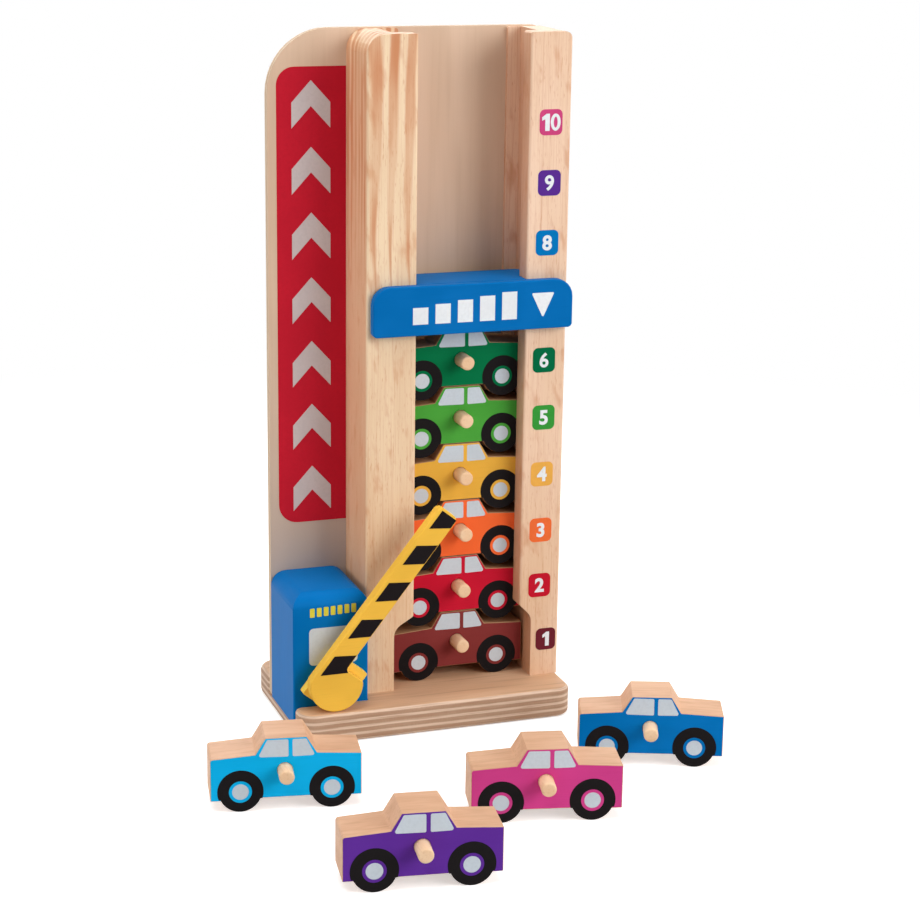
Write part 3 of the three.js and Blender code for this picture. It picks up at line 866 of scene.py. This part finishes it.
REST_ANGLE = 51.8
PIVOT = (-59.94, 33.4)
STRIPE_SHIFT = -0.75
BESIDE_FILLET = arc(12.95, -1, 2.5, 176, 90, 5)
STRIPES = [
    [*BESIDE_FILLET, (21.0, 1.5), (13.7, 11.9), (0.4, 11.9)],
    [(34.0, 1.5), (46.0, 1.5), (39.0, 11.9), (26.0, 11.9)],
    [(59.0, 1.5), (71.6, 1.5), (64.4, 11.9), (51.5, 11.9)],
    [(84.2, 1.5), (97.0, 1.5), (90.0, 11.9), (76.9, 11.9)],
    [(108.9, 1.5), (114.2, 1.5), (114.2, 11.9), (101.8, 11.9)],
]

shifted = [[(x + STRIPE_SHIFT, z) for x, z in stripe] for stripe in STRIPES]
stripes = [turned(stripe, REST_ANGLE, PIVOT) for stripe in shifted]
front_print("arm_stripes", stripes, black_ink, "barrier", standing(y=arm_front))


# Level numbers on the right post, each on a patch of its car's colour

# The colour of each car by name, its paint and the patch of its label
CAR_COLOURS = [
    ("maroon", "#823534", "#6E2530"),
    ("red", "#C41832", "#C8192F"),
    ("orange", "#F56A35", "#F2703A"),
    ("yellow", "#E6AE43", "#F0B050"),
    ("light_green", "#4AA03C", "#3A9A3C"),
    ("green", "#007042", "#006B42"),
    ("light_blue", "#0CB2EC", "#00ADEB"),
    ("blue", "#0070B8", "#0077BD"),
    ("purple", "#5F2E96", "#5B2E91"),
    ("pink", "#CE4088", "#D1477F"),
]
LABEL_PITCH = 33.35
FIRST_LABEL = 39.4
LABEL_PLACES = [73.1, 68.5, 68.4, 68.4, 68.6, 68.1, 68.5, 68.3, 68.8, 69.0]
LABEL_HALF = (6.7, 7.1)
FIRST_LABEL_HALF = (6.1, 6.6)
LABEL_RADIUS = 3
NUMBER_HEIGHT = 8.6
TEN_HEIGHT = 9.4
BOLD = 0.035
CLOSED_BOLD = 0.025
CLOSED_NUMBERS = ("6", "9")
ONE_SHARES = [(0.22, 0), (0.5, 0), (0.5, 1), (0.3, 1), (0.02, 0.8), (0.02, 0.6), (0.22, 0.68)]
NOUGHT_PLACE_SHARE = 0.87
NOUGHT_SHARES = [(0.31, 0.5), (0.12, 0.32)]


def own_number(text, height, material):
    """1 with its flag, alone or before a nought."""
    outlines = [[(x * height, y * height) for x, y in ONE_SHARES]]
    if text == "10":
        middle = NOUGHT_PLACE_SHARE * height
        outlines += [oval(middle, height / 2, wide * height, high * height) for wide, high in NOUGHT_SHARES]
    mesh = plate_of(outlines, material)
    right = max(vertex.co.x for vertex in mesh.vertices)
    mesh.transform(Matrix.Translation((-right / 2, -height * MM / 2, 0)))
    return mesh


def label(number, colour, patch_colour, x, z):
    """A patch of a car's colour with the number of its level."""
    text = str(number)
    half_wide, half_high = FIRST_LABEL_HALF if number == 1 else LABEL_HALF
    patch = rectangle(x - half_wide, x + half_wide, z - half_high, z + half_high, LABEL_RADIUS)
    patch_ink = print_ink("label " + colour.replace("_", " "), patch_colour)
    front_print(f"label_{number:02}", [patch], patch_ink, "garage", standing(y=post_front))
    if text in ("1", "10"):
        mesh = own_number(text, TEN_HEIGHT if text == "10" else NUMBER_HEIGHT, white_ink)
    else:
        mesh = number_mesh(text, NUMBER_HEIGHT, CLOSED_BOLD if text in CLOSED_NUMBERS else BOLD, white_ink)
    mesh.transform(standing(x, post_front - PRINT_DEPTH, z))
    keep(f"number_{number:02}", mesh, "garage")


for i, (colour, _, patch_colour) in enumerate(CAR_COLOURS):
    label(i + 1, colour, patch_colour, LABEL_PLACES[i], FIRST_LABEL + LABEL_PITCH * i)


# Cars: wood bodies with a painted front, printed tyres, hubs and windows, and a dowel peg

CAR_LENGTH = 78.9
CAR_EDGE = 0.4
CAR_EDGE_SEGMENTS = 2
WHEEL_RADIUS = 11.3
WHEEL_PLACES = (15.6, 63.3)
WHEEL_STEPS = 16
SILL = 6.4
BELLY = 7.1
BOOT_TOP = 29.8
BOOT_END = (55.7, 31.2)
ROOF_TOP = 40.2
ROOF_RIGHT = 50.2
ROOF_LEFT = 28.7
BONNET_END = (23.4, 31.4)
BONNET_TOP = 29.7
BONNET_RADIUS = 1.5
PAINT_INSET = 0.35
PAINT_DEPTH = 0.1
CAR_PRINT_DEPTH = 0.06
HUB_HEIGHT = 11.15
TYRE_RADIUS = 12.0
TYRE_FOOT_RADIUS = 11.15
TYRE_INNER_RADIUS = 6.0
TYRE_STEPS = 48
TYRE_FOOT_STEPS = 28
HUB_RADIUS = 4.3
WINDOWS = [
    softened([(24.9, 29.9, 1), (40.7, 29.6, 0.8), (40.6, 39.1, 0.8), (29.7, 39.2, 1)]),
    softened([(42.8, 29.6, 0.8), (54.55, 29.75, 1), (49.95, 39.1, 1), (42.8, 39.1, 0.8)]),
]
PEG_PLACE = (38.8, 22.3)
PEG_RADIUS = 3.96
PEG_HOLE_GAP = 0.25
PEG_REACH = 11.4
PEG_TIP = 1.0
PEG_TIP_STEPS = 5
PEG_SEAT = 12
PEG_SIDES = 40
PEG_END_SHARE = 0.5
# The stacked cars' wood is painted darker than the loose cars': painted shade for the crevices between them.
STACK_SHADED_WOOD = ("#BE936F", "#B28662", "#946A48")
STACK_SLIDES = [0, 0.5, 1.2, 0.8, 0.6, 0.7]
STACK_PLACE = (-16.7, -12.4, 17.6)
STACK_PITCH = 33.4
LOOSE_WOOD = ("#E2B796", "#D6A887", "#B68766")
LOOSE_PLACES = {
    7: (-149.594, -119.770, -9.7),
    8: (56.887, -116.378, -20.8),
    9: (-111.328, -230.704, -8.4),
    10: (-25.564, -172.791, -12.9),
}


def wheel_arc(x, left_height, right_height):
    """The foot of a wheel, between the heights where the sill or the belly meets it."""
    left = -90 - math.degrees(math.acos(1 - left_height / WHEEL_RADIUS))
    right = -90 + math.degrees(math.acos(1 - right_height / WHEEL_RADIUS))
    return [(px, pz, 0) for px, pz in arc(x, WHEEL_RADIUS, WHEEL_RADIUS, left, right, WHEEL_STEPS)]


def car_profile():
    """The side of a car, anticlockwise from its low left corner."""
    wheels = wheel_arc(WHEEL_PLACES[0], SILL, BELLY) + wheel_arc(WHEEL_PLACES[1], BELLY, SILL)
    top = [
        (CAR_LENGTH, SILL, 0),
        (CAR_LENGTH, BOOT_TOP, 0),
        (*BOOT_END, 0),
        (ROOF_RIGHT, ROOF_TOP, 0),
        (ROOF_LEFT, ROOF_TOP, 0),
        (*BONNET_END, 0),
        (0, BONNET_TOP, BONNET_RADIUS),
    ]
    return softened([(0, SILL, 0)] + wheels + top)


def tyre(x):
    """A printed tyre: a little wider than the wheel, whose foot cuts it off."""
    low = math.degrees(math.asin((HUB_HEIGHT - BELLY) / TYRE_RADIUS))
    foot = math.degrees(math.asin((WHEEL_RADIUS - BELLY) / TYRE_FOOT_RADIUS))
    top = arc(x, HUB_HEIGHT, TYRE_RADIUS, -low, 180 + low, TYRE_STEPS)
    return top + arc(x, WHEEL_RADIUS, TYRE_FOOT_RADIUS, 180 + foot, 360 - foot, TYRE_FOOT_STEPS)


CAR_FRONT = [inset(car_profile(), PAINT_INSET), ring(*PEG_PLACE, PEG_RADIUS + PEG_HOLE_GAP)]
TYRES = [outline for x in WHEEL_PLACES for outline in (tyre(x), ring(x, HUB_HEIGHT, TYRE_INNER_RADIUS))]
HUBS = [ring(x, HUB_HEIGHT, HUB_RADIUS) for x in WHEEL_PLACES]


def peg_mesh():
    """A dowel with a rounded end, turned from its profile, along Y with its end to the front."""
    tip = arc(PEG_RADIUS - PEG_TIP, -PEG_REACH + PEG_TIP, PEG_TIP, 0, -90, PEG_TIP_STEPS)
    profile = [(PEG_RADIUS, PEG_SEAT)] + tip + [(PEG_RADIUS * PEG_END_SHARE, -PEG_REACH)]
    form = bmesh.new()
    loops = []
    for radius, along in profile:
        circle = ring(0, 0, radius, PEG_SIDES)
        loops.append([form.verts.new((x * MM, along * MM, z * MM)) for x, z in circle])
    for low, high in zip(loops, loops[1:]):
        for k in range(PEG_SIDES):
            form.faces.new((low[k], low[(k + 1) % PEG_SIDES], high[(k + 1) % PEG_SIDES], high[k]))
    form.faces.new(loops[0])
    form.faces.new(loops[-1])
    bmesh.ops.recalc_face_normals(form, faces=form.faces)
    for face in form.faces:
        face.smooth = len(face.verts) == 4
    mesh = bpy.data.meshes.new("peg")
    form.to_mesh(mesh)
    form.free()
    return coated(mesh, peg_wood)


def car(number, tones, x, y, z, turn):
    """A car with its left front corner at a place, on its own body."""
    stem = f"car_{number:02}"
    colour, code, _ = CAR_COLOURS[number - 1]
    radians = math.radians(turn)
    where = standing(x, y, z, radians)
    wood = plain_wood(f"{stem} wood", *tones, turn=radians)
    rounded(f"{stem}_body", CAR_EDGE, wood, stem, CAR_EDGE_SEGMENTS)
    finish = paint("car " + colour.replace("_", " "), code, grain="X", turn=radians)
    front_print(f"{stem}_front", CAR_FRONT, finish, stem, where, PAINT_DEPTH)
    painted = where @ Matrix.Translation((0, 0, PAINT_DEPTH * MM))
    front_print(f"{stem}_tyres", TYRES, tyre_ink, stem, painted, CAR_PRINT_DEPTH)
    front_print(f"{stem}_hubs", HUBS, pane_ink, stem, painted, CAR_PRINT_DEPTH)
    front_print(f"{stem}_windows", WINDOWS, pane_ink, stem, painted, CAR_PRINT_DEPTH)
    peg = peg_mesh()
    across, up = PEG_PLACE
    peg.transform(where @ UPRIGHT.inverted() @ Matrix.Translation(Vector((across, 0, up)) * MM))
    keep(f"{stem}_dowel", peg, stem, [f"{stem}_peg"])


stack_x, stack_y, stack_z = STACK_PLACE
# The stacked cars take the darker wood, as painted shade.
for i, slide in enumerate(STACK_SLIDES):
    car(i + 1, STACK_SHADED_WOOD, stack_x + slide, stack_y, stack_z + STACK_PITCH * i, 0)
for number, (x, y, turn) in LOOSE_PLACES.items():
    car(number, LOOSE_WOOD, x, y, 0, turn)


# Floor, world and lamps

WHITE = (1, 1, 1, 1)
FLOOR_HALF = 4000
FLOOR_MATTE = (0.62, 0.62, 0.62, 1)
FLOOR_PALE = (0.9, 0.9, 0.9, 1)
FLOOR_GLOW = 0.5
FLOOR_FADE = (450, 900)
SKY_LOW = 0.22
SKY_HIGH = 0.3
SKY_RISE = (0.1, 0.9)
LAMP_AIM = (0, -40, 180)
# The name of each lamp, its place, width and height, and its power in watts
LAMPS = [
    ("key", (1400, -1650, 1040), 1800, 1300, 38),
    ("left", (-2250, -40, 660), 800, 800, 15),
    ("above", (0, -40, 2480), 800, 800, 18),
    ("high left", (-1000, -615, 2170), 800, 800, 11),
    ("back", (300, 2200, 700), 1500, 1200, 16),
]


def over(tree, share, below, above):
    """One shader over another, by a share."""
    return tree.node("ShaderNodeMixShader", {}, {0: share, 1: below.outputs[0], 2: above.outputs[0]})


def seen_directly(tree):
    """1 for what the camera sees itself or in a gloss, and 0 for light that bounces on."""
    ways = tree.node("ShaderNodeLightPath").outputs
    return tree.math("MAXIMUM", Reading(tree, ways["Is Camera Ray"]), Reading(tree, ways["Is Glossy Ray"]))


def lay_floor():
    """White wherever light reaches it, so only the shadow shows; far off it glows by itself."""
    form = bmesh.new()
    bmesh.ops.create_grid(form, x_segments=1, y_segments=1, size=FLOOR_HALF * MM)
    mesh = bpy.data.meshes.new("floor")
    form.to_mesh(mesh)
    form.free()
    floor = held("floor", mesh)
    material = bpy.data.materials.new("floor")
    material.use_nodes = True
    tree = NodeTree(material.node_tree)
    material.node_tree.nodes.clear()
    matte = tree.node("ShaderNodeBsdfDiffuse", {}, {"Color": FLOOR_MATTE})
    pale = tree.node("ShaderNodeBsdfDiffuse", {}, {"Color": FLOOR_PALE})
    glow = tree.node("ShaderNodeEmission", {}, {"Color": WHITE, "Strength": FLOOR_GLOW})
    lit = tree.node("ShaderNodeAddShader", {}, {0: pale.outputs[0], 1: glow.outputs[0]})
    white = tree.node("ShaderNodeEmission", {}, {"Color": WHITE, "Strength": 1})
    place = tree.node("ShaderNodeTexCoord").outputs["Object"]
    near, away = FLOOR_FADE
    far = tree.rise(tree.length(place), near * MM, away * MM)
    surface = over(tree, seen_directly(tree), matte, over(tree, far, lit, white))
    tree.node("ShaderNodeOutputMaterial", {}, {"Surface": surface.outputs[0]})
    mesh.materials.append(material)


def light_world():
    """Soft light from all round, low from the sides and high from above."""
    world = bpy.data.worlds.new("studio")
    world.use_nodes = True
    bpy.context.scene.world = world
    tree = NodeTree(world.node_tree)
    world.node_tree.nodes.clear()
    sides = tree.node("ShaderNodeBackground", {}, {"Color": WHITE, "Strength": SKY_LOW})
    above = tree.node("ShaderNodeBackground", {}, {"Color": WHITE, "Strength": SKY_HIGH})
    white = tree.node("ShaderNodeBackground", {}, {"Color": WHITE, "Strength": 1})
    up = tree.apart(tree.node("ShaderNodeTexCoord").outputs["Generated"])[2]
    soft = over(tree, tree.rise(up, *SKY_RISE), sides, above)
    surface = over(tree, seen_directly(tree), soft, white)
    tree.node("ShaderNodeOutputWorld", {}, {"Surface": surface.outputs[0]})


def hang_lamp(name, place, width, height, power):
    data = bpy.data.lights.new(name, "AREA")
    data.shape = "RECTANGLE"
    data.size = width * MM
    data.size_y = height * MM
    data.energy = power
    lamp = held(name, data)
    towards = (Vector(LAMP_AIM) - Vector(place)).normalized()
    facing = towards.to_track_quat("-Z", "Y").to_matrix().to_4x4()
    lamp.matrix_world = Matrix.Translation(Vector(place) * MM) @ facing


lay_floor()
light_world()
for lamp in LAMPS:
    hang_lamp(*lamp)


# Colour view, and the end

scene = bpy.context.scene
scene.view_settings.view_transform = "Standard"
